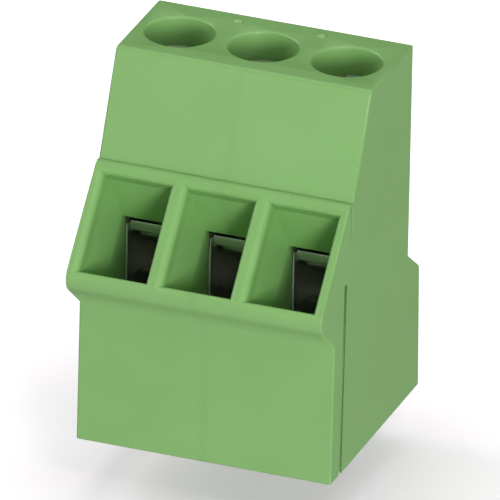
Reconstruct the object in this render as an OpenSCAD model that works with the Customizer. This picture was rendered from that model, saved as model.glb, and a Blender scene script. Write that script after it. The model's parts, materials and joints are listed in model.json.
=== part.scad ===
// Screw terminal block for a circuit board: a moulded housing with three poles, each with a clamping
// screw, a rising tension sleeve and a stamped contact with a solder pin.
// X runs along the row of poles, Y from the wire side to the back, Z up from the board.
// The origin is on the board plane, in the middle of the row of solder pins. Sizes named _y are
// measured from the lower front face, and every piece is then moved back to the pin row.

/* [Block] */
// Distance between neighbouring poles
pole_pitch = 5.08; // [5:0.02:5.4]
// Distance from an outer pole to the end face
end_reach = 2.68; // [2.6:0.02:3.2]
// Depth of the housing at the board, behind its lower front face
block_d = 14.53; // [14:0.01:15.5]
// Height of the housing above the board
block_h = 22.6; // [20:0.1:26]
// Front edge of the top face
top_front_y = 5.08; // [4.8:0.02:5.4]
// Back edge of the top face
top_back_y = 11.96; // [11.9:0.02:12.6]
// How far the upper back face leans out over its height
back_draft = 0.2; // [0:0.02:0.4]
// Radius of the rounded edge between the top and the sloping front
top_edge_r = 0.35; // [0.1:0.05:0.6]

/* [Wire frame] */
// Height of the lower front face
low_face_h = 8.69; // [8:0.05:9.2]
// Reach of the frame's nose in front of the lower face
nose_reach = 2.74; // [2:0.02:3.2]
// Height of the nose
nose_z = 10.94; // [10.4:0.02:11.4]
// Radius of the nose
nose_r = 1; // [0.4:0.05:1.1]
// Lean of the frame, from upright
frame_lean = 40.4; // [38:0.2:42]
// Height of the ledge above the frame
ledge_z = 16.56; // [16.3:0.02:17]
// Place of the ledge's inner corner
ledge_y = 2.65; // [2.4:0.05:3]
// Radius of the ledge's outer edge
ledge_r = 0.35; // [0.1:0.05:0.4]
// Back of the frame's leaning flanks
flank_y = 2.4; // [2.1:0.05:2.6]
// Height at which the flanks start to lean in
flank_z = 13; // [12.5:0.1:14]
// How far the flanks lean in at the ledge
flank_draft = 0.05; // [0.02:0.01:0.1]

/* [Wire funnels] */
// Width of a funnel at the frame
funnel_w = 4.08; // [3.8:0.02:4.3]
// Width of the throat behind the funnel
throat_w = 3.36; // [3.3:0.02:3.6]
// Rim above the funnel, along the frame
rim_w = 0.5; // [0.3:0.05:0.8]
// Lip below the funnel, along the frame
lip_w = 0.94; // [0.84:0.02:1.1]
// Radius of the lip's inner edge
lip_r = 0.3; // [0.1:0.02:0.4]
// Depth of the straight mouth
mouth_depth = 1.2; // [0.6:0.05:1.6]
// Depth of the funnel, square to the frame
funnel_depth = 4.2; // [3.9:0.05:4.4]
// How far the funnel's roof comes down over its depth
roof_drop = 1.25; // [0.8:0.05:1.6]
// Radius of the roof's edge at the frame
roof_r = 0.34; // [0.1:0.02:0.4]
// Radius of the cheeks' edges at the frame
cheek_r = 0.48; // [0.1:0.02:0.5]

/* [Rear foot] */
// Height of the foot's back face
foot_h = 7.76; // [6:0.05:9]
// Rise of the sloping shoulder
shoulder_rise = 1.47; // [0.8:0.02:2]
// How far the foot's back face leans out at the board
foot_draft = 0.4; // [0:0.02:0.6]
// Radius of the foot's upper edge
foot_edge_r = 0.4; // [0.1:0.05:0.8]

/* [Side panels] */
// Place of the groove in front of each side panel
groove_y = 1.78; // [1.4:0.02:2.2]
// Width of the groove
groove_w = 0.12; // [0.08:0.01:0.2]
// Depth of the groove
groove_depth = 0.2; // [0.1:0.01:0.22]
// Height of the groove and the panel
panel_h = 11.9; // [10:0.1:13]
// How far the panel leans in at the board
panel_draft = 0.16; // [0.05:0.01:0.2]

/* [Top vestiges] */
// Place of the vestiges, from the front
vestige_y = 11; // [10.6:0.05:11.4]
// Radius of a vestige at the top face
vestige_r = 0.27; // [0.15:0.01:0.4]
// Height of a vestige
vestige_h = 0.14; // [0.05:0.01:0.14]

/* [Cells] */
// Thickness of the lower front wall
front_wall = 1.1; // [0.8:0.05:1.6]
// Front of the clamp's chamber
chamber_y = 4.7; // [4.55:0.05:4.8]
// Back of the chamber
chamber_back_y = 11; // [10.9:0.02:11.1]
// Thickness of the sloping wall under a funnel
funnel_floor_t = 1.2; // [0.8:0.05:1.4]
// Depth of the contact's slot in the back wall
slot_depth = 0.35; // [0.2:0.01:0.4]
// Gap between the contact and its slot, on each side
slot_clear = 0.02; // [0.01:0.01:0.05]

/* [Clamping screws] */
// Place of the screw axes, from the front
screw_y = 8.32; // [8.2:0.02:8.34]
// Diameter of the screw bore in the housing
bore_d = 4.08; // [3.8:0.02:4.2]
// Gap between the screw head and its bore
head_clear = 0.14; // [0.1:0.01:0.3]
// Depth of the head below the top face
head_drop = 1.65; // [0.8:0.05:3]
// Height of the head
head_h = 2; // [1.6:0.05:2.4]
// Chamfer round the top of the head
head_chamfer = 0.2; // [0.1:0.02:0.4]
// Width of the driver slot
driver_slot_w = 0.8; // [0.6:0.05:1]
// Depth of the driver slot
driver_slot_depth = 1; // [0.6:0.05:1.3]
// Diameter of the thread
thread_d = 3; // [2.5:0.1:3]
// Length of the tapered tip
tip_taper = 0.45; // [0.2:0.05:0.8]
// Gap between the tip and the current bar
tip_gap = 0.02; // [0.01:0.01:0.1]

/* [Tension sleeves] */
// Width of the sleeve's inside
sleeve_inner_w = 3.2; // [3:0.02:3.3]
// Thickness of the sleeve's side walls
sleeve_wall = 0.45; // [0.35:0.01:0.5]
// Thickness of the sleeve's top
sleeve_top_t = 0.7; // [0.5:0.05:0.9]
// Thickness of the sleeve's bottom
sleeve_bottom_t = 0.6; // [0.5:0.05:0.8]
// Outer corner radius of the sleeve
sleeve_corner_r = 0.4; // [0.2:0.02:0.5]
// Setback of the top from the front of the side walls
sleeve_setback = 0.5; // [0.3:0.05:0.8]
// Height of the threaded collar on the sleeve
collar_h = 1; // [0.6:0.05:1.2]
// Wall of the threaded collar
collar_wall = 0.4; // [0.3:0.02:0.44]
// Radial gap between the thread and the collar
thread_clear = 0.05; // [0.02:0.01:0.08]
// Gap between the sleeve and the walls round it
sleeve_clear = 0.1; // [0.06:0.01:0.12]
// Gap between the sleeve's top and the current bar when it is open
open_gap = 0.15; // [0.05:0.01:0.3]
// Room for the wire when the clamp is open
wire_room = 2; // [1.9:0.05:2.2]
// How far the sleeve rises to clamp
clamp_travel = 1.75; // [1.2:0.05:1.8]
// Radius of the jaw's crown
jaw_r = 5; // [4:0.1:8]
// Height of the jaw above the sleeve's bottom
jaw_rise = 0.85; // [0.5:0.05:1]
// Place of the jaw's crown behind the sleeve's front
jaw_offset = 1.4; // [1:0.05:2]

/* [Contacts] */
// Thickness of the stamped strip
strip_t = 0.9; // [0.7:0.02:0.92]
// Width of the current bar and its leg
bar_w = 2.6; // [2:0.05:2.8]
// Height of the current bar's upper face
bar_z = 10.95; // [10.8:0.02:11.1]
// Front of the current bar
bar_front_y = 5.95; // [5.6:0.05:6.2]
// Lead-in bevel under the front of the current bar
bar_bevel = 0.58; // [0.3:0.02:0.64]
// Outside radius of the strip's bend
bend_r = 1.2; // [1:0.05:1.6]
// Width of the solder pin
pin_w = 0.9; // [0.7:0.05:1.2]
// Length of the solder pin below the board plane
pin_length = 3.2; // [2.5:0.1:5]
// Length of the pin's tapered tip
pin_tip = 0.4; // [0.2:0.05:0.8]
// Height of the leg's shoulders above the board
shoulder_z = 0.6; // [0.3:0.05:1]
// Bevel at the corners of the shoulders
shoulder_slope = 0.28; // [0.1:0.02:0.4]

/* [Hidden] */
$fn = 64;

housing_green = "#79B062";
nickel = "#B9BBB8";
tinned = "#A9A9A4";

// Directions of the driver slots as the screws were left
slot_angles = [78, 28, 128];
// Room by which a cut passes beyond the face that it opens
over = 1;
// Room above a fully raised sleeve
raised_room = 0.3;
// Step from the jaw's crown up to the throat's floor
floor_step = 0.05;
// Share of the solder pin's width that its tapered tip loses on each side
tip_share = 0.25;

block_w = 2 * (pole_pitch + end_reach);
back_y = top_back_y + back_draft;
foot_y = block_d - foot_draft;

sleeve_w = sleeve_inner_w + 2 * sleeve_wall;
cell_w = sleeve_w + 2 * sleeve_clear;
leg_back_y = chamber_back_y + slot_depth;
leg_front_y = leg_back_y - strip_t;
pin_row_y = leg_back_y - strip_t / 2;
sleeve_front_y = chamber_y + sleeve_clear;
sleeve_back_y = leg_front_y - sleeve_clear;

bar_under_z = bar_z - strip_t;
jaw_z = bar_under_z - wire_room;
sleeve_floor_z = jaw_z - jaw_rise;
sleeve_bottom_z = sleeve_floor_z - sleeve_bottom_t;
sleeve_under_z = bar_z + open_gap;
sleeve_top_z = sleeve_under_z + sleeve_top_t;
chamber_top_z = sleeve_top_z + collar_h + clamp_travel + raised_room;
throat_floor_z = jaw_z + floor_step;

head_d = bore_d - 2 * head_clear;
head_top_z = block_h - head_drop;

// Length of the frame from its nose to its ledge, along the slope
frame_l = (ledge_z - nose_z) / cos(frame_lean);
nose_corner = [-nose_reach, nose_z];

// Point at a distance up the frame's slope and at a depth square to it
function on_frame(up, into) = nose_corner
    + up * [sin(frame_lean), cos(frame_lean)]
    + into * [cos(frame_lean), -sin(frame_lean)];

function unit(v) = v / norm(v);

// Centre of the arc that rounds the corner of an outline
function round_centre(before, corner, after, r) = let (
    to_before = unit(before - corner),
    to_after = unit(after - corner),
    half_angle = acos(to_before * to_after) / 2)
    corner + unit(to_before + to_after) * r / sin(half_angle);

function pole_x(pole) = (pole - 2) * pole_pitch;

// Outline in Y and Z, drawn out along X
module along_x(width) {
    translate([-width / 2, 0, 0])
        rotate([90, 0, 90])
            linear_extrude(width) children();
}

// Outline in X and Z, drawn out along Y from front to back
module along_y(front, back) {
    translate([0, back, 0])
        rotate([90, 0, 0])
            linear_extrude(back - front) children();
}

// Sliver that rounds a corner of an outline when it is cut away
module corner_cut(before, corner, after, r) {
    to_before = unit(before - corner);
    to_after = unit(after - corner);
    half_angle = acos(to_before * to_after) / 2;
    reach = r / tan(half_angle);
    centre = round_centre(before, corner, after, r);
    difference() {
        polygon([corner + to_before * reach, 2 * corner - centre, corner + to_after * reach]);
        translate(centre) circle(r);
    }
}

module round_rectangle(width, height, r) {
    translate([r - width / 2, 0]) square([width - 2 * r, height]);
    translate([-width / 2, r]) square([width, height - 2 * r]);
    for (x = [r - width / 2, width / 2 - r], y = [r, height - r])
        translate([x, y]) circle(r);
}

// Outside of the housing, seen from its end
module block_outline() {
    front_foot = [0, 0];
    front_top = [0, low_face_h];
    frame_top = on_frame(frame_l, 0);
    ledge = [ledge_y, ledge_z];
    top_front = [top_front_y, block_h];
    top_back = [top_back_y, block_h];
    shoulder_top = [back_y, foot_h + shoulder_rise];
    shoulder_low = [foot_y, foot_h];
    foot_back = [block_d, 0];
    difference() {
        polygon([front_foot, front_top, nose_corner, frame_top, ledge,
            top_front, top_back, shoulder_top, shoulder_low, foot_back]);
        corner_cut(front_top, nose_corner, frame_top, nose_r);
        corner_cut(nose_corner, frame_top, ledge, ledge_r);
        corner_cut(ledge, top_front, top_back, top_edge_r);
        corner_cut(shoulder_top, shoulder_low, foot_back, foot_edge_r);
    }
}

// Solid above a funnel, seen from the end of the block, with a rounded edge at the frame
module funnel_roof() {
    roof_edge = on_frame(frame_l - rim_w, 0);
    mouth_end = on_frame(frame_l - rim_w, mouth_depth);
    throat_edge = on_frame(frame_l - rim_w - roof_drop, funnel_depth);
    difference() {
        polygon([on_frame(frame_l + over, 0), roof_edge, mouth_end, throat_edge,
            [chamber_y + 2 * over, throat_edge[1]], [chamber_y + 2 * over, block_h]]);
        corner_cut(on_frame(frame_l + over, 0), roof_edge, mouth_end, roof_r);
    }
}

// Solid below a funnel, seen from the end of the block, its edge rounded from the nose to the floor
module funnel_floor() {
    lip_edge = on_frame(lip_w, 0);
    throat_edge = [chamber_y, throat_floor_z];
    inward = unit(throat_edge - lip_edge);
    downward = [inward[1], -inward[0]];
    nose_centre = round_centre([0, low_face_h], nose_corner, on_frame(frame_l, 0), nose_r);
    from_nose = lip_edge + lip_r * downward - nose_centre;
    along = from_nose * inward;
    reach = sqrt(along * along - from_nose * from_nose + pow(nose_r - lip_r, 2)) + along;
    centre = lip_edge + lip_r * downward - reach * inward;
    nose_end = nose_centre + unit(centre - nose_centre) * nose_r;
    floor_start = centre - lip_r * downward;
    difference() {
        polygon([nose_corner, lip_edge, throat_edge, [chamber_y + 2 * over, throat_floor_z],
            [chamber_y + 2 * over, 0], [-nose_reach, 0]]);
        difference() {
            polygon([centre, nose_end, 2 * nose_end - centre, on_frame(lip_w, -over), lip_edge, floor_start]);
            translate(centre) circle(lip_r);
        }
    }
}

// Solid beside a funnel, seen along the frame's slope, with a rounded edge at the frame
module funnel_cheek() {
    beside = [funnel_w / 2 + 2 * over, 0];
    cheek_edge = [funnel_w / 2, 0];
    mouth_end = [funnel_w / 2, mouth_depth];
    difference() {
        polygon([beside, cheek_edge, mouth_end, [throat_w / 2, funnel_depth],
            [throat_w / 2, 3 * frame_l], [beside[0], 3 * frame_l]]);
        corner_cut(beside, cheek_edge, mouth_end, cheek_r);
    }
}

// Wire funnel: what its roof, its floor and its two cheeks leave open
module funnel() {
    intersection() {
        along_x(funnel_w + 2 * over)
            difference() {
                polygon([on_frame(0, -over), on_frame(frame_l, -over), on_frame(frame_l, funnel_depth),
                    [chamber_y + over, on_frame(frame_l, funnel_depth)[1]],
                    [chamber_y + over, throat_floor_z - over], on_frame(0, over)]);
                funnel_roof();
                funnel_floor();
            }
        translate([0, -nose_reach, nose_z])
            rotate([-frame_lean, 0, 0])
                linear_extrude(2 * frame_l, center = true)
                    difference() {
                        translate([-funnel_w / 2 - over, -2 * over])
                            square([funnel_w + 2 * over, 2 * frame_l]);
                        funnel_cheek();
                        mirror([1, 0]) funnel_cheek();
                    }
    }
}

// Cell of one pole: the clamp's chamber, open to the board, and the contact's slot in its back wall
module cell() {
    floor_slope = (on_frame(lip_w, 0)[1] - throat_floor_z) / (chamber_y + nose_reach);
    along_x(cell_w)
        polygon([[front_wall, -over],
            [front_wall, throat_floor_z - funnel_floor_t + floor_slope * (chamber_y - front_wall)],
            [chamber_y, throat_floor_z - funnel_floor_t], [chamber_y, chamber_top_z],
            [chamber_back_y, chamber_top_z], [chamber_back_y, -over]]);
    along_x(bar_w + 2 * slot_clear)
        polygon([[chamber_back_y - over, -over], [chamber_back_y - over, bar_z],
            [leg_back_y, bar_z], [leg_back_y, -over]]);
}

// Groove and leaning face of one side panel, and the frame's leaning flank above it
module side_relief() {
    side_x = block_w / 2;
    translate([side_x - groove_depth, groove_y, -over])
        cube([groove_depth + over, groove_w, panel_h + over]);
    along_y(groove_y, block_d + over)
        polygon([[side_x, panel_h], [side_x - panel_draft, 0], [side_x - panel_draft, -over],
            [side_x + over, -over], [side_x + over, panel_h]]);
    along_y(-nose_reach - over, flank_y)
        polygon([[side_x, flank_z], [side_x - flank_draft, ledge_z], [side_x - flank_draft, ledge_z + over],
            [side_x + over, ledge_z + over], [side_x + over, flank_z]]);
}

module vestige() {
    cap_r = (vestige_r * vestige_r + vestige_h * vestige_h) / (2 * vestige_h);
    intersection() {
        translate([0, 0, vestige_h - cap_r]) sphere(cap_r);
        translate([0, 0, -vestige_h]) cylinder(r = vestige_r, h = 3 * vestige_h);
    }
}

module housing() {
    color(housing_green)
        translate([0, -pin_row_y, 0]) {
            difference() {
                along_x(block_w) block_outline();
                for (pole = [1:3])
                    translate([pole_x(pole), 0, 0]) {
                        funnel();
                        cell();
                        translate([0, screw_y, chamber_top_z - over])
                            cylinder(d = bore_d, h = block_h - chamber_top_z + 2 * over);
                    }
                for (side = [0, 1])
                    mirror([side, 0, 0]) side_relief();
            }
            for (side = [-1, 1])
                translate([side * pole_pitch / 2, vestige_y, block_h]) vestige();
        }
}

// Slotted cylinder-head screw, its tip on the current bar
module clamp_screw(pole) {
    tip_z = bar_z + tip_gap;
    neck_z = head_top_z - head_h;
    color(nickel)
        translate([pole_x(pole), screw_y - pin_row_y, 0])
            difference() {
                rotate_extrude()
                    polygon([[0, tip_z], [thread_d / 2 - tip_taper, tip_z], [thread_d / 2, tip_z + tip_taper],
                        [thread_d / 2, neck_z], [head_d / 2, neck_z], [head_d / 2, head_top_z - head_chamfer],
                        [head_d / 2 - head_chamfer, head_top_z], [0, head_top_z]]);
                translate([0, 0, head_top_z - driver_slot_depth])
                    rotate([0, 0, slot_angles[pole - 1]])
                        translate([-head_d, -driver_slot_w / 2, 0])
                            cube([2 * head_d, driver_slot_w, driver_slot_depth + over]);
            }
}

// Closed sleeve with a threaded collar above and a crowned jaw below
module tension_sleeve(pole) {
    inner_r = sleeve_corner_r / 2;
    hole_d = thread_d + 2 * thread_clear;
    color(nickel)
        translate([pole_x(pole), -pin_row_y, 0])
            difference() {
                union() {
                    along_y(sleeve_front_y, sleeve_back_y)
                        difference() {
                            translate([0, sleeve_bottom_z])
                                round_rectangle(sleeve_w, sleeve_top_z - sleeve_bottom_z, sleeve_corner_r);
                            translate([0, sleeve_floor_z])
                                round_rectangle(sleeve_inner_w, sleeve_under_z - sleeve_floor_z, inner_r);
                        }
                    along_x(sleeve_inner_w)
                        intersection() {
                            translate([sleeve_front_y + jaw_offset, jaw_z - jaw_r]) circle(jaw_r);
                            translate([sleeve_front_y, sleeve_floor_z - sleeve_bottom_t / 2])
                                square([sleeve_back_y - sleeve_front_y, jaw_rise + sleeve_bottom_t]);
                        }
                    translate([0, screw_y, sleeve_top_z - sleeve_top_t / 2])
                        cylinder(d = hole_d + 2 * collar_wall, h = collar_h + sleeve_top_t / 2);
                }
                translate([0, screw_y, sleeve_under_z - open_gap])
                    cylinder(d = hole_d, h = open_gap + sleeve_top_t + collar_h + over);
                translate([-sleeve_inner_w / 2, sleeve_front_y - over, sleeve_under_z - inner_r])
                    cube([sleeve_inner_w, over + sleeve_setback, sleeve_top_t + inner_r + over]);
            }
}

// One stamped strip: current bar, leg and solder pin
module contact(pole) {
    bar_front = [bar_front_y, bar_z];
    bar_edge = [bar_front_y + bar_bevel, bar_under_z];
    bend_outside = [leg_back_y, bar_z];
    bend_inside = [leg_front_y, bar_under_z];
    taper_z = pin_tip - pin_length;
    taper_front = [leg_front_y, taper_z];
    taper_back = [leg_back_y, taper_z];
    right_edge = [[bar_w / 2, bar_z + over], [bar_w / 2, shoulder_z + shoulder_slope],
        [bar_w / 2 - shoulder_slope, shoulder_z], [pin_w / 2, shoulder_z],
        [pin_w / 2, taper_z], [pin_w / 2 - pin_w * tip_share, -pin_length]];
    color(tinned)
        translate([pole_x(pole), -pin_row_y, 0])
            intersection() {
                along_x(bar_w)
                    difference() {
                        polygon([bar_front, [bar_front_y, -pin_length],
                            [leg_back_y - strip_t * tip_share, -pin_length], taper_back, bend_outside]);
                        corner_cut(bar_front, bend_outside, taper_back, bend_r);
                        difference() {
                            polygon([bar_edge + [-over, over], bar_edge, bend_inside, taper_front,
                                [leg_front_y + strip_t * tip_share, -pin_length],
                                [leg_front_y + strip_t * tip_share, -pin_length - over],
                                [bar_front_y - over, -pin_length - over]]);
                            corner_cut(bar_edge, bend_inside, taper_front, bend_r - strip_t);
                        }
                    }
                along_y(bar_front_y - over, leg_back_y + over)
                    polygon(concat(right_edge, [for (i = [len(right_edge) - 1:-1:0])
                        [-right_edge[i][0], right_edge[i][1]]]));
            }
}

housing();
clamp_screw(1);  // clamp_screw_1
clamp_screw(2);  // clamp_screw_2
clamp_screw(3);  // clamp_screw_3
tension_sleeve(1);  // tension_sleeve_1
tension_sleeve(2);  // tension_sleeve_2
tension_sleeve(3);  // tension_sleeve_3
contact(1);  // contact_1
contact(2);  // contact_2
contact(3);  // contact_3
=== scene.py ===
# %% [markdown]
# # A screw terminal block for a circuit board
# The object is a small connector: one moulded green housing with three poles in a row. Each pole has a
# funnel for a wire, a slotted screw in a bore on top, a plated steel sleeve that the screw pulls up,
# and a stamped contact that ends in a solder pin under the housing.
# The solids come from the CAD model, so this script only dresses them. It rounds the edges that a
# mould or a press leaves round, cuts the screws' threads, and gives every piece its own surface.

import json
import math

import bmesh
import bpy
from mathutils import Matrix, Vector

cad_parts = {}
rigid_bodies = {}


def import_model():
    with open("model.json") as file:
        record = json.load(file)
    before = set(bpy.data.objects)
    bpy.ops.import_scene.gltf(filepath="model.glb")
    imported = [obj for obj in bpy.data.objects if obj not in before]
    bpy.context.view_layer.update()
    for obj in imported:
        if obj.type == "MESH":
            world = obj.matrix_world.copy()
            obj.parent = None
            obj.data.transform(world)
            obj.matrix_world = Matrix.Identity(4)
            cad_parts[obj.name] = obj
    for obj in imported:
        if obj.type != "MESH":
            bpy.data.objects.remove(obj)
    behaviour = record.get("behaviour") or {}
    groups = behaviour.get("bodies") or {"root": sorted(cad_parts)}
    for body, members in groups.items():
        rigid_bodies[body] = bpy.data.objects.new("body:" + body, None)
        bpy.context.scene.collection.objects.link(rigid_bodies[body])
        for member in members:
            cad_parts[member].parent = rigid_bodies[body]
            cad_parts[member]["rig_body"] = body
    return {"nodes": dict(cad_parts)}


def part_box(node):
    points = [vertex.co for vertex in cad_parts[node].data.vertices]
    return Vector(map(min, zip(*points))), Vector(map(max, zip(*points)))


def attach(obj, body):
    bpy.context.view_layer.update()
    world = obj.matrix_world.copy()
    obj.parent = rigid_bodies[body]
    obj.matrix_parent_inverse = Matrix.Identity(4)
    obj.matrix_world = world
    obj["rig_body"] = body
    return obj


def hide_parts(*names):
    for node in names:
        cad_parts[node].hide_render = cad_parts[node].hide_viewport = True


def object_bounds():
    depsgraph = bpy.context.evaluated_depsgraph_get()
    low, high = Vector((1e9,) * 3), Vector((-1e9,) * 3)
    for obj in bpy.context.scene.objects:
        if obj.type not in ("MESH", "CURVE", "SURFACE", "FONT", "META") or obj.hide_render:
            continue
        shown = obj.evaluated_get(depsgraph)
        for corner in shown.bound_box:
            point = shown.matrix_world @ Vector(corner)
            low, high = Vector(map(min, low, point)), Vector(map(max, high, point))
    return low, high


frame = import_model()
cad_low, cad_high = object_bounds()
MM = 0.001
POLES = (1, 2, 3)
size_mm = (cad_high - cad_low) / MM
print(f"solids: {len(frame['nodes'])} nodes, {size_mm.x:.2f} x {size_mm.y:.2f} x {size_mm.z:.2f} mm")

# %% [markdown]
# ## The camera
# The photograph was taken from far away with a long lens, so lines that are parallel on the block stay
# nearly parallel in the picture. An orthographic camera would do that too, but a very long lens keeps
# the other views working. The yaw, pitch and roll were found by fitting the block's edges, and the aim
# point is the spot on the block that lies in the middle of the picture.

# %% Camera
YAW, PITCH, ROLL = (math.radians(angle) for angle in (19.94, 25.32, -1.48))
FRAME_WIDTH = 28.53 * MM
LENS, SENSOR = 1600.0, 36.0
# A point in the block, and how far right and down of it the picture's middle is
AIM_MM, RIGHT_MM, DOWN_MM = Vector((0, -4.4, 11)), 0.136, 0.384

forward = Vector((-math.sin(YAW) * math.cos(PITCH), math.cos(YAW) * math.cos(PITCH), -math.sin(PITCH)))
level_right = Vector((math.cos(YAW), math.sin(YAW), 0))
level_down = forward.cross(level_right)
right = math.cos(ROLL) * level_right + math.sin(ROLL) * level_down
down = -math.sin(ROLL) * level_right + math.cos(ROLL) * level_down
aim = AIM_MM * MM + RIGHT_MM * MM * right + DOWN_MM * MM * down

camera_data = bpy.data.cameras.new("camera")
camera_data.lens, camera_data.sensor_width = LENS, SENSOR
camera = bpy.data.objects.new("camera", camera_data)
bpy.context.scene.collection.objects.link(camera)
distance = FRAME_WIDTH * LENS / SENSOR
camera.matrix_world = Matrix.Translation(aim - forward * distance) @ Matrix(
    (right, -down, -forward)).transposed().to_4x4()
camera_data.clip_end = 2 * distance
bpy.context.scene.camera = camera
print(f"camera {distance:.2f} m away")

# %% [markdown]
# ## Colours and shader nodes
# Colours are written as the sRGB hex values that a paint program shows, and Blender's shaders work in
# linear light, so one function turns the first into the second. A second one adds a shader node with its
# settings and links, so that a material below reads as a list of what it is made of.

# %% Material helpers
bpy.context.scene.view_settings.view_transform = "Standard"


def linear(hex_colour):
    """An sRGB hex colour as linear RGBA."""
    channels = [int(hex_colour[i:i + 2], 16) / 255 for i in (1, 3, 5)]
    return [c / 12.92 if c <= 0.04045 else ((c + 0.055) / 1.055) ** 2.4 for c in channels] + [1]


def add_node(tree, kind, inputs=None, **settings):
    """Adds a node, sets its properties, and fills its inputs with values or links."""
    made = tree.nodes.new(kind)
    for name, value in settings.items():
        setattr(made, name, value)
    for socket, value in (inputs or {}).items():
        if isinstance(value, bpy.types.NodeSocket):
            tree.links.new(value, made.inputs[socket])
        else:
            made.inputs[socket].default_value = value
    return made


def new_material(name):
    """An empty material with one Principled shader on its output."""
    made = bpy.data.materials.new(name)
    made.use_nodes = True
    return made, made.node_tree, made.node_tree.nodes["Principled BSDF"]


print("colours are shown by the transform", bpy.context.scene.view_settings.view_transform)

# %% [markdown]
# ## Moulded polyamide
# The housing is injection-moulded polyamide, coloured right through. Such moulds are spark-eroded, which
# leaves a fine dull grain, and the plastic that cools last sinks a little, so the large faces are not
# perfectly even. Displacing the mesh would take about a million faces for such a grain, so a noise texture a
# tenth of a millimetre in size gives it as bump, and a broad one a few millimetres in size varies the colour
# and the gloss very slightly. Down the middle of the front, two streams of melt met in the mould and left a
# weld line, a shallow crease. The shade in it is painted into the colour as a faint darker line.

# %% Moulded polyamide
# The real grain is too fine to show at this size, so it is drawn about two pixels wide
GRAIN_MM, CLOUD_MM = 0.12, 3.0
# Where the weld line runs, and the shade in its crease, painted into the colour: darkest this far across
WELD_LEFT, WELD_RIGHT, WELD_BACK_Y = -0.55 * MM, 0.3 * MM, -5.7 * MM
WELD_PLACE, WELD_PAINTED_SHADE = 0.65, (0.95, 0.95, 0.95, 1)

polyamide, tree, shader = new_material("moulded polyamide")
# Satin green plastic: a soft broad sheen over an even, slightly milky colour
place = add_node(tree, "ShaderNodeTexCoord")
cloud = add_node(tree, "ShaderNodeTexNoise", {"Vector": place.outputs["Object"], "Scale": 1 / (CLOUD_MM * MM),
                                              "Detail": 3.0})
tint = add_node(tree, "ShaderNodeValToRGB", {"Fac": cloud.outputs["Fac"]})
tint.color_ramp.elements[0].color = linear("#84B66A")
tint.color_ramp.elements[1].color = linear("#87B96D")
tint.color_ramp.elements[0].position, tint.color_ramp.elements[1].position = 0.35, 0.65
along = add_node(tree, "ShaderNodeSeparateXYZ", {"Vector": place.outputs["Object"]})
weld = add_node(tree, "ShaderNodeMapRange", {"Value": along.outputs["X"], "From Min": WELD_LEFT,
                                             "From Max": WELD_RIGHT})
# Painted shade in the weld line's crease: darker slowly towards the line, lifting quickly past it
weld_painted_shade = add_node(tree, "ShaderNodeValToRGB", {"Fac": weld.outputs["Result"]})
weld_painted_shade.color_ramp.elements[0].color = weld_painted_shade.color_ramp.elements[1].color = (1, 1, 1, 1)
weld_painted_shade.color_ramp.elements.new(WELD_PLACE).color = WELD_PAINTED_SHADE
at_front = add_node(tree, "ShaderNodeMath", {0: along.outputs["Y"], 1: WELD_BACK_Y}, operation="LESS_THAN")
coloured = add_node(tree, "ShaderNodeMix", {"Factor": at_front.outputs["Value"], "A": tint.outputs["Color"],
                                            "B": weld_painted_shade.outputs["Color"]},
                    data_type="RGBA", blend_type="MULTIPLY")
grain = add_node(tree, "ShaderNodeTexNoise", {"Vector": place.outputs["Object"], "Scale": 1 / (GRAIN_MM * MM),
                                              "Detail": 2.0})
gloss = add_node(tree, "ShaderNodeMapRange", {"Value": cloud.outputs["Fac"], "To Min": 0.35, "To Max": 0.43})
bump = add_node(tree, "ShaderNodeBump", {"Height": grain.outputs["Fac"], "Strength": 0.12,
                                         "Distance": 0.02 * MM})
tree.links.new(coloured.outputs["Result"], shader.inputs["Base Color"])
tree.links.new(gloss.outputs["Result"], shader.inputs["Roughness"])
tree.links.new(bump.outputs["Normal"], shader.inputs["Normal"])
shader.inputs["IOR"].default_value = 1.53
print("polyamide: grain", GRAIN_MM, "mm, clouds", CLOUD_MM, "mm")

# %% [markdown]
# ## Plated metal
# The screws and sleeves are steel with a thin nickel plating, and the contacts are copper alloy with a
# tin plating. A metal has no colour below its surface, so all of its look is in what it mirrors. The stamped
# pieces are smoother than the turned screws, and all three are a little warm. Stamping and turning leave fine
# lines. The shader's anisotropy would only stretch the reflections, so the lines themselves are drawn, as a
# noise that is stretched along them.

# %% Plated metals
# Real tool lines are finer than a pixel, so they are drawn about one pixel wide
LINE_MM = 0.06


def plated_metal(name, hex_colour, roughness, stretch):
    """A plated metal with fine lines from the tool that shaped it."""
    made, tree, shader = new_material(name)
    shader.inputs["Base Color"].default_value = linear(hex_colour)
    shader.inputs["Metallic"].default_value = 1.0
    place = add_node(tree, "ShaderNodeTexCoord")
    squeeze = add_node(tree, "ShaderNodeMapping", {"Vector": place.outputs["Object"], "Scale": stretch})
    lines = add_node(tree, "ShaderNodeTexNoise", {"Vector": squeeze.outputs["Vector"],
                                                  "Scale": 1 / (LINE_MM * MM), "Detail": 2.0})
    sheen = add_node(tree, "ShaderNodeMapRange", {"Value": lines.outputs["Fac"], "To Min": roughness - 0.06,
                                                  "To Max": roughness + 0.08})
    bump = add_node(tree, "ShaderNodeBump", {"Height": lines.outputs["Fac"], "Strength": 0.1,
                                             "Distance": 0.01 * MM})
    tree.links.new(sheen.outputs["Result"], shader.inputs["Roughness"])
    tree.links.new(bump.outputs["Normal"], shader.inputs["Normal"])
    return made


# Dull turned heads, and stamped sleeves with clearer reflections
nickel_screw = plated_metal("nickel-plated steel, turned", "#DAD8D2", 0.5, (1, 1, 0.1))
nickel_sleeve = plated_metal("nickel-plated steel, stamped", "#E4E3DF", 0.34, (1, 0.1, 1))
# Pale metal with soft reflections
tinned_copper = plated_metal("tin-plated copper", "#E0DFDB", 0.34, (1, 0.1, 1))
print("metals:", nickel_screw.name, "/", nickel_sleeve.name, "/", tinned_copper.name)

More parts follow.
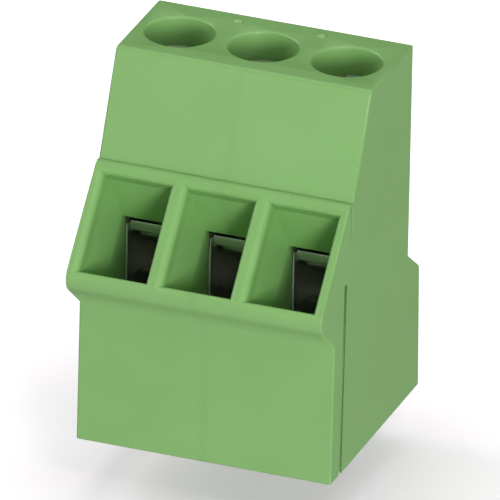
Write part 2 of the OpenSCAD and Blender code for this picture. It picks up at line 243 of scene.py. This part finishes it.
# %% [markdown]
# ## Rounded edges
# No moulded or pressed edge is a knife edge: each one has a small radius that catches the light as a thin
# bright line. The solids have the large radii, and the small ones are added here. A Bevel shader node would
# only bend the shading, so the mesh itself is rounded. The solid's triangles are first merged into whole
# faces, then a Bevel modifier rounds the outward edges by a weight per edge, and a Weighted Normal modifier
# keeps the large faces flat. Inward corners stay sharp and are marked so. The large radii are made of narrow
# facets that meet at less than 30 degrees. Those must not be rounded again, but where two wide faces meet at
# such a small angle, the crease between them is real and stays.

# %% Softened copies
SHARP, CREASE = math.radians(33), math.radians(2)
WIDE = 0.5 * MM


def dress(piece, mesh, node, material):
    """An object for a mesh, on the body of a CAD node and with the given material."""
    made = bpy.data.objects.new(piece, mesh)
    bpy.context.scene.collection.objects.link(made)
    mesh.materials.clear()
    mesh.materials.append(material)
    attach(made, frame["nodes"][node]["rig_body"])
    return made


def is_wide(face):
    """Whether a face is a wide flat and not a narrow facet of a radius."""
    return face.calc_area() / max(edge.calc_length() for edge in face.edges) > WIDE


def softened_copy(node, piece, material, edge_r, segments=3, weight_of=None, move=None):
    """A copy of a CAD node with rounded outward edges, which stands for the node."""
    mesh = frame["nodes"][node].data.copy()
    mesh.name = piece
    faces = bmesh.new()
    faces.from_mesh(mesh)
    if move:
        for corner in faces.verts:
            corner.co = move(corner.co)
    bmesh.ops.remove_doubles(faces, verts=faces.verts, dist=0.0005 * MM)
    bmesh.ops.dissolve_limit(faces, angle_limit=math.radians(0.6), verts=faces.verts, edges=faces.edges)
    weights = faces.edges.layers.float.new("bevel_weight_edge")
    wide = {face: is_wide(face) for face in faces.faces}
    rounded = 0
    for edge in faces.edges:
        if len(edge.link_faces) != 2:
            continue
        angle = edge.calc_face_angle_signed(0)
        if angle > SHARP:
            edge[weights] = weight_of((edge.verts[0].co + edge.verts[1].co) / 2) if weight_of else 1.0
            rounded += 1
        elif angle < -SHARP or abs(angle) > CREASE and all(wide[face] for face in edge.link_faces):
            edge.smooth = False
    bmesh.ops.connect_verts_concave(faces, faces=faces.faces)
    for face in faces.faces:
        face.smooth = True
    faces.to_mesh(mesh)
    faces.free()
    made = dress(piece, mesh, node, material)
    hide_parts(node)
    bevel = made.modifiers.new("rounded edges", "BEVEL")
    bevel.limit_method, bevel.width, bevel.segments = "WEIGHT", edge_r, segments
    bevel.use_clamp_overlap = bevel.loop_slide = False
    normals = made.modifiers.new("flat faces", "WEIGHTED_NORMAL")
    normals.keep_sharp = True
    print(f"{piece}: {rounded} edges rounded by up to {edge_r / MM:.2f} mm")
    return made


# %% [markdown]
# ## The housing
# Three small forms are finer than the plain solid has them, so corners of the copy move by a few tenths of a
# millimetre. The rim above the funnels is a round bead with a crease behind it. The groove in each side is
# made as a dovetail, cut back under the panel like the ones that join such blocks side by side, because a
# plain slot catches too much light. The panel stands upright. Moving corners keeps the solid's faces as they
# are joined, which a cut with another mesh would not.

# %% Finer forms of the housing
PIN_ROW_Y = 10.9
SAME = 0.01
# The panel and its groove in the solid
SIDE_X, PANEL_MIN_X, PANEL_H, PANEL_LEAN = 7.76, 7.5, 11.9, 0.16
GROOVE_X, STRIP_Y, PANEL_Y = 7.56, 1.78, 1.9
# The dovetail's corners at the board, and how far they lean back at the top
DOVETAIL_X, STRIP_EDGE_Y, LIP_EDGE_Y, UNDERCUT_Y, GROOVE_SLANT = 7.46, 1.4, 1.72, 2.05, 0.15
# The ledge above the funnels in the solid, and the arc of an ellipse that makes the bead
LEDGE_Z, LEDGE_R, LEDGE_FRONT_Y, LEDGE_BACK_Y = 16.56, 0.35, 2.205, 2.65
ARC_LOW_Y, ARC_LOW_Z = 1.93, 16.43
BEAD_H, BEAD_W, BEAD_Y, BEAD_Z = 0.6, 0.758, 2.515, 16.648


def in_mm(point):
    """Distance from the middle, from the lower front face and from the board, in millimetres."""
    return abs(point.x) / MM, point.y / MM + PIN_ROW_Y, point.z / MM


def finer_form(point):
    """Where a corner of the solid goes."""
    x, y, z = in_mm(point)
    slant = GROOVE_SLANT * z / PANEL_H
    if x > PANEL_MIN_X and z < PANEL_H + SAME:
        deep = abs(x - GROOVE_X) < SAME
        if abs(y - STRIP_Y) < SAME:
            x, y = (DOVETAIL_X if deep else SIDE_X), STRIP_EDGE_Y + slant
        elif abs(y - PANEL_Y) < SAME:
            x, y = (DOVETAIL_X, UNDERCUT_Y + slant) if deep else (SIDE_X, LIP_EDGE_Y + slant)
        elif y > PANEL_Y and abs(x - SIDE_X + PANEL_LEAN * (1 - z / PANEL_H)) < SAME / 2:
            x = SIDE_X
    elif z > ARC_LOW_Z and ARC_LOW_Y < y < LEDGE_FRONT_Y + SAME:
        turn = math.asin(min(1, max(0, (LEDGE_FRONT_Y - y) / LEDGE_R)))
        y, z = BEAD_Y - BEAD_W * math.sin(turn), BEAD_Z - BEAD_H * (1 - math.cos(turn))
    elif abs(z - LEDGE_Z) < SAME and LEDGE_FRONT_Y < y < LEDGE_BACK_Y - SAME:
        z += (BEAD_Z - LEDGE_Z) * min(1, (LEDGE_BACK_Y - y) / (LEDGE_BACK_Y - BEAD_Y))
    return Vector((math.copysign(x, point.x), y - PIN_ROW_Y, z)) * MM


print(f"bead {BEAD_Z - LEDGE_Z:.2f} mm above the ledge, groove {SIDE_X - DOVETAIL_X:.2f} mm deep")

# %% [markdown]
# ## The housing's edges
# The mould's outer edges have a radius of about an eighth of a millimetre. Finer forms get a share of it, so
# that two radii never meet across a narrow flat. The share comes from the zone that an edge's middle lies in,
# and the first zone in the list that holds it counts.

# %% Housing
HOUSING_EDGE = 0.13 * MM
FAR = 99
# Each zone: from and to in x, y and z, in millimetres, and its share of the full radius
ZONES = (
    ((7.4, FAR), (-FAR, 2.62), (16.4, 16.7), 0.0),  # ends of the bead
    ((7.4, FAR), (2.37, 2.43), (12.9, FAR), 0.0),  # step in the flank
    ((7.75, FAR), (1.3, 1.6), (-FAR, 11.8), 0.8),  # groove, edge of the front strip
    ((7.75, FAR), (1.6, 2.3), (-FAR, 11.8), 0.4),  # groove, lip of the panel
    ((7.4, FAR), (1.3, 2.3), (-FAR, 12), 0.0),  # groove, inside
    ((7.4, FAR), (-FAR, 2.35), (9, 16.5), 0.5),  # outer edges of the frame
    ((0, 7.65), (1, 11.5), (-FAR, 16.5), 0.35),  # cells
    ((0, 7.65), (-2.5, 1), (11, 16.5), 0.35),  # funnels
)


def housing_weight(point):
    """The share of the full radius that an edge gets, from its middle."""
    place = in_mm(point)
    for *ranges, share in ZONES:
        if all(low <= along < high for along, (low, high) in zip(place, ranges)):
            return share
    return 1.0


softened_copy("housing", "moulded_housing", polyamide, HOUSING_EDGE, weight_of=housing_weight,
              move=finer_form)

# %% [markdown]
# ## Clamps
# Each pole's screw, sleeve and contact are small metal pieces with edges broken by tumbling before plating.
# The screw's thread is a helical ridge. A picture of lines would look flat, and the Screw modifier makes no
# run-out, so the ridge is wound in code: the copy's shank first shrinks to the thread's core, and one small
# trapezoid is then turned and raised step by step. Its height runs out at both ends as it does behind a die.

# %% Thread
THREAD_PITCH, THREAD_R, CORE_R = 0.5 * MM, 1.5 * MM, 1.22 * MM
STEPS = 40
# The ridge's root is sunk in the core. Rises are shares of the pitch
ROOT_R, ROOT_RISE, CREST_RISE = CORE_R - 0.02 * MM, 0.21, 0.04


def wind_thread(name, axis, low, high):
    """A helical ridge round an upright axis, as a mesh."""
    points, faces = [], []
    count = int((high - low) / THREAD_PITCH * STEPS)
    for step in range(count + 1):
        turn = 2 * math.pi * step / STEPS
        z = low + THREAD_PITCH * step / STEPS
        crest_r = CORE_R + (THREAD_R - CORE_R) * min(1, 2 * step / STEPS, 2 * (count - step) / STEPS)
        for radius, rise in ((ROOT_R, -ROOT_RISE), (crest_r, -CREST_RISE), (crest_r, CREST_RISE),
                             (ROOT_R, ROOT_RISE)):
            points.append((axis.x + radius * math.cos(turn), axis.y + radius * math.sin(turn),
                           z + rise * THREAD_PITCH))
    for step in range(count):
        near, next_on = 4 * step, 4 * step + 4
        faces += [(near + a, near + b, next_on + b, next_on + a) for a, b in ((0, 1), (1, 2), (2, 3), (3, 0))]
    faces += [(3, 2, 1, 0), tuple(4 * count + corner for corner in range(4))]
    mesh = bpy.data.meshes.new(name)
    mesh.from_pydata(points, [], faces)
    return mesh


print(f"threads: {THREAD_R * 2 / MM:.1f} mm across, pitch {THREAD_PITCH / MM:.1f} mm")

# %% [markdown]
# ## Pieces of each pole
# A loop dresses the three poles alike. The chamfer round a screw head is narrower than the solid has it, so
# its two rings of corners move while the shank shrinks. The thread is a piece of its own that rides on
# the screw's body, and turns with it.

# %% Screws, sleeves and contacts
HEAD_H, FLAT_R, CHAMFER, CHAMFER_CUT = 2 * MM, 1.7 * MM, 0.2 * MM, 0.12 * MM
TIP_CLEAR, NECK_CLEAR = 0.4 * MM, 0.3 * MM
SCREW_EDGE, SLEEVE_EDGE, CONTACT_EDGE = 0.05 * MM, 0.11 * MM, 0.08 * MM
CLOSE = SAME * MM

for pole in POLES:
    screw_low, screw_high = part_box(f"clamp_screw_{pole}")
    axis = (screw_low + screw_high) / 2
    neck_z = screw_high.z - HEAD_H

    def screw_form(point):
        """Moves a point of the shank in to the thread's core, and narrows the chamfer round the head."""
        out = Vector((point.x - axis.x, point.y - axis.y, 0))
        if point.z > screw_high.z - CLOSE and abs(out.length - FLAT_R) < CLOSE:
            return point + out.normalized() * CHAMFER_CUT
        if abs(point.z - screw_high.z + CHAMFER) < CLOSE and out.length > FLAT_R:
            return point + Vector((0, 0, CHAMFER_CUT))
        if point.z > neck_z + CLOSE or not CORE_R <= out.length <= THREAD_R + 5 * CLOSE:
            return point
        return Vector((axis.x, axis.y, point.z)) + out.normalized() * CORE_R

    softened_copy(f"clamp_screw_{pole}", f"slotted_screw_{pole}", nickel_screw, SCREW_EDGE, move=screw_form)
    ridge = wind_thread(f"screw_thread_{pole}", axis, screw_low.z + TIP_CLEAR, neck_z - NECK_CLEAR)
    dress(f"screw_thread_{pole}", ridge, f"clamp_screw_{pole}", nickel_screw)
    softened_copy(f"tension_sleeve_{pole}", f"pressed_sleeve_{pole}", nickel_sleeve, SLEEVE_EDGE)
    softened_copy(f"contact_{pole}", f"stamped_contact_{pole}", tinned_copper, CONTACT_EDGE)

# %% [markdown]
# ## Floor
# The block stands on its solder pins on a white table, so light gets in under it and its shadow is soft. In
# the photograph the table is pure white, whiter than a table would be beside that green, because the
# background was brightened afterwards. A little emission that grows away from the block does the same here.
# Only the camera may see the table: one as bright as this would put a pale gloss on the block's sides.

# %% Floor
GLOW_NEAR, GLOW_FAR = 0.24, 0.56
NEAR_MM, FAR_MM = 10.0, 26.0
HALF_TABLE = 0.4
floor_z = cad_low.z
under_block = (0, -4 * MM, floor_z)
floor_mesh = bpy.data.meshes.new("table")
corners = ((-1, -1), (1, -1), (1, 1), (-1, 1))
floor_mesh.from_pydata([(x * HALF_TABLE, y * HALF_TABLE, floor_z) for x, y in corners], [], [(0, 1, 2, 3)])
floor = bpy.data.objects.new("table", floor_mesh)
bpy.context.scene.collection.objects.link(floor)

white, tree, shader = new_material("white table")
# Matt paper with a painted glow, weakest round the block and rising to pure white away from it.
# A trace of pink offsets the green that the block throws on it
place = add_node(tree, "ShaderNodeTexCoord")
away = add_node(tree, "ShaderNodeVectorMath", {0: place.outputs["Object"], 1: under_block},
                operation="DISTANCE")
# Painted light: the table's glow grows with distance from the block
painted_glow = add_node(tree, "ShaderNodeMapRange",
                {"Value": away.outputs["Value"], "From Min": NEAR_MM * MM, "From Max": FAR_MM * MM,
                 "To Min": GLOW_NEAR, "To Max": GLOW_FAR}, interpolation_type="SMOOTHSTEP")
tree.links.new(painted_glow.outputs["Result"], shader.inputs["Emission Strength"])
shader.inputs["Emission Color"].default_value = (1, 1, 1, 1)
shader.inputs["Base Color"].default_value = linear("#FFF8FF")
shader.inputs["Roughness"].default_value = 0.8
floor_mesh.materials.append(white)
floor.visible_diffuse = floor.visible_glossy = floor.visible_shadow = False
print("floor at", round(floor_z / MM, 2), "mm")

# %% [markdown]
# ## The room
# The shading tells what stood round the block. The fronts have a pale sheen, and the side and the top, which
# mirror what lies behind, have almost none: so the room was bright in front and dark at the back. The world's
# glow is the sum of three soft lobes, each brightest in one direction: the table below, the space low in
# front, and a pale wall on the right. A lobe is the cosine of the angle from its direction, raised to a
# power that narrows it. Three lobes are easier to match to a photograph than a painted sky.

# %% Room
LOBES = (((0, 0, -1), 1, 0.36), ((-0.2, -0.85, -0.6), 4, 0.52), ((1, 0, 0), 1, 0.44))
room = bpy.data.worlds.new("room")
room.use_nodes = True
tree = room.node_tree
look = add_node(tree, "ShaderNodeTexCoord")
glow = 0.0
for direction, power, strength in LOBES:
    toward = add_node(tree, "ShaderNodeVectorMath",
                      {0: look.outputs["Generated"], 1: Vector(direction).normalized()},
                      operation="DOT_PRODUCT")
    ahead = add_node(tree, "ShaderNodeMath", {0: toward.outputs["Value"], 1: 0.0}, operation="MAXIMUM")
    lobe = add_node(tree, "ShaderNodeMath", {0: ahead.outputs["Value"], 1: power}, operation="POWER")
    glow = add_node(tree, "ShaderNodeMath", {0: lobe.outputs["Value"], 1: strength, 2: glow},
                    operation="MULTIPLY_ADD").outputs["Value"]
tree.links.new(glow, tree.nodes["Background"].inputs["Strength"])
tree.nodes["Background"].inputs["Color"].default_value = (1, 1, 1, 1)
bpy.context.scene.world = room
print("room:", len(LOBES), "lobes")

# %% [markdown]
# ## Lamps
# On the roofs of the funnels the edge of a shadow runs slantwise inward, which places the main lamp low on
# the right in front of the block, and its narrow edge says that the lamp is small. Soft boxes on the left,
# behind and overhead fill in, and they set how bright the top is beside the fronts. Two weak lamps are there
# for their gloss: one where the upper front mirrors it, and one where the right edges of the dividers do.
# A lamp is placed by its compass angle, counted to the right from straight in front of the block, and its
# height above the horizon. Its strength is what a white card that faces it would show.

# %% Lamps
LIGHT_DISTANCE = 0.3


def soft_box(name, compass, height, width, strength):
    """A square area light that faces the block from a compass angle and a height, both in degrees."""
    light = bpy.data.lights.new(name, "AREA")
    light.size, light.energy = width, strength * math.pi ** 2 * LIGHT_DISTANCE ** 2
    made = bpy.data.objects.new(name, light)
    compass, height = math.radians(compass), math.radians(height)
    toward = Vector((math.sin(compass) * math.cos(height), -math.cos(compass) * math.cos(height),
                     math.sin(height)))
    made.location = aim + toward * LIGHT_DISTANCE
    made.rotation_euler = (-toward).to_track_quat("-Z", "Y").to_euler()
    bpy.context.scene.collection.objects.link(made)


BOXES = (
    ("low lamp", 36, 12, 0.08, 0.62),
    ("left soft box", -90, 30, 0.2, 0.5),
    ("rear soft box", 180, 60, 0.2, 0.22),
    ("overhead soft box", 0, 88, 0.2, 0.14),
    ("front lamp", -18, 17, 0.08, 0.06),
    ("high lamp", 40, 47, 0.06, 0.08),
)
for box in BOXES:
    soft_box(*box)
print("lamps:", [(box[0], box[4]) for box in BOXES])
